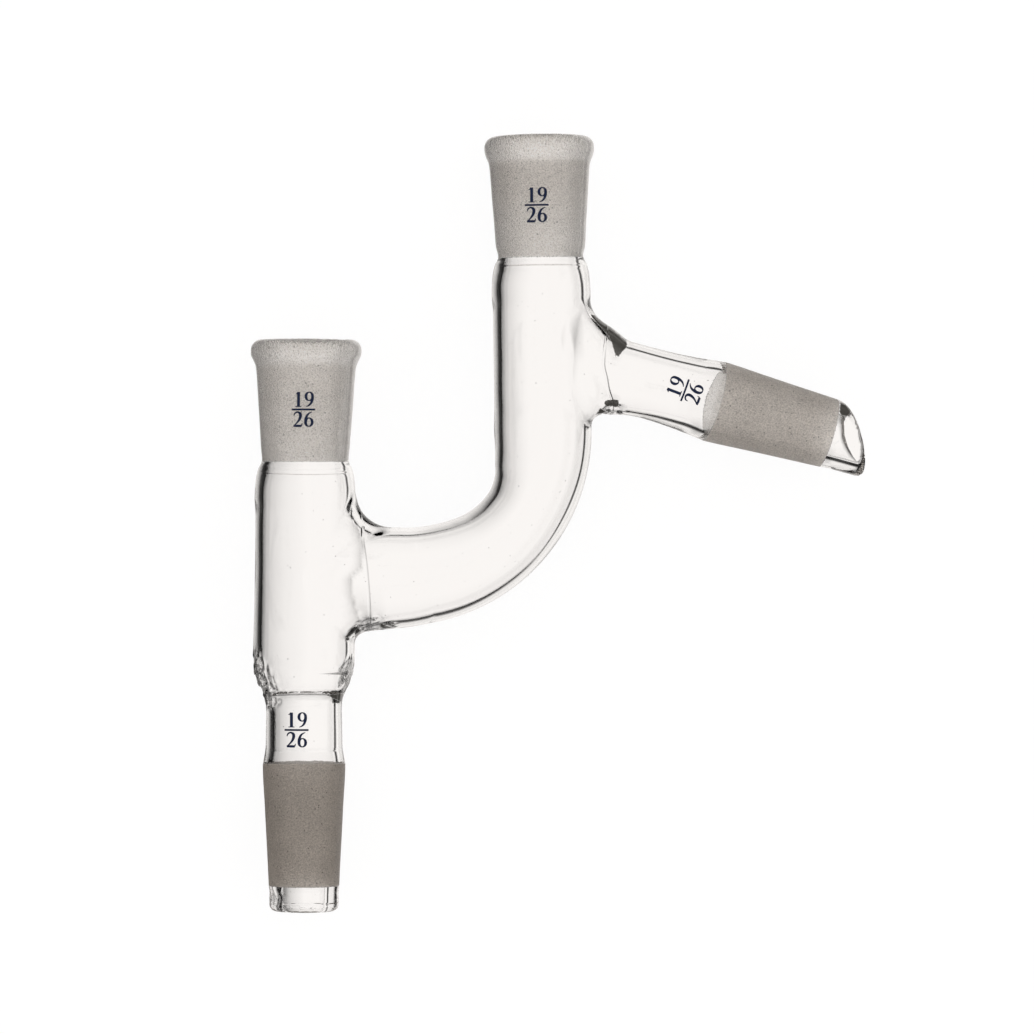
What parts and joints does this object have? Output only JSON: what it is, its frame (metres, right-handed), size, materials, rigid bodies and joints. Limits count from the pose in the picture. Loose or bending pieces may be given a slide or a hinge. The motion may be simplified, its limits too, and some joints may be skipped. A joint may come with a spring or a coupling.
{
  "type": "distillation head",
  "caption": "Glass distillation head: a straight column over a ground flask cone, a bent side tube to a second column, ground sockets on top and a sloping arm to a condenser cone.",
  "frame": {"origin": "centre of the head's outline, on the table that it lies on", "axes": "+X from the straight column towards the arm, +Y up both columns to their sockets, +Z off the table; both columns and the arm lie in one level plane"},
  "size_m": [0.1412, 0.1766, 0.0252],
  "materials": {
    "glass": "clear borosilicate, fire-polished, with finely ground grey zones outside the cones and inside the sockets",
    "enamel": "thin fired-on dark blue marking of the joint size"
  },
  "bodies": {
    "root": {"glass_body": "glass"}
  },
  "joints": []
}
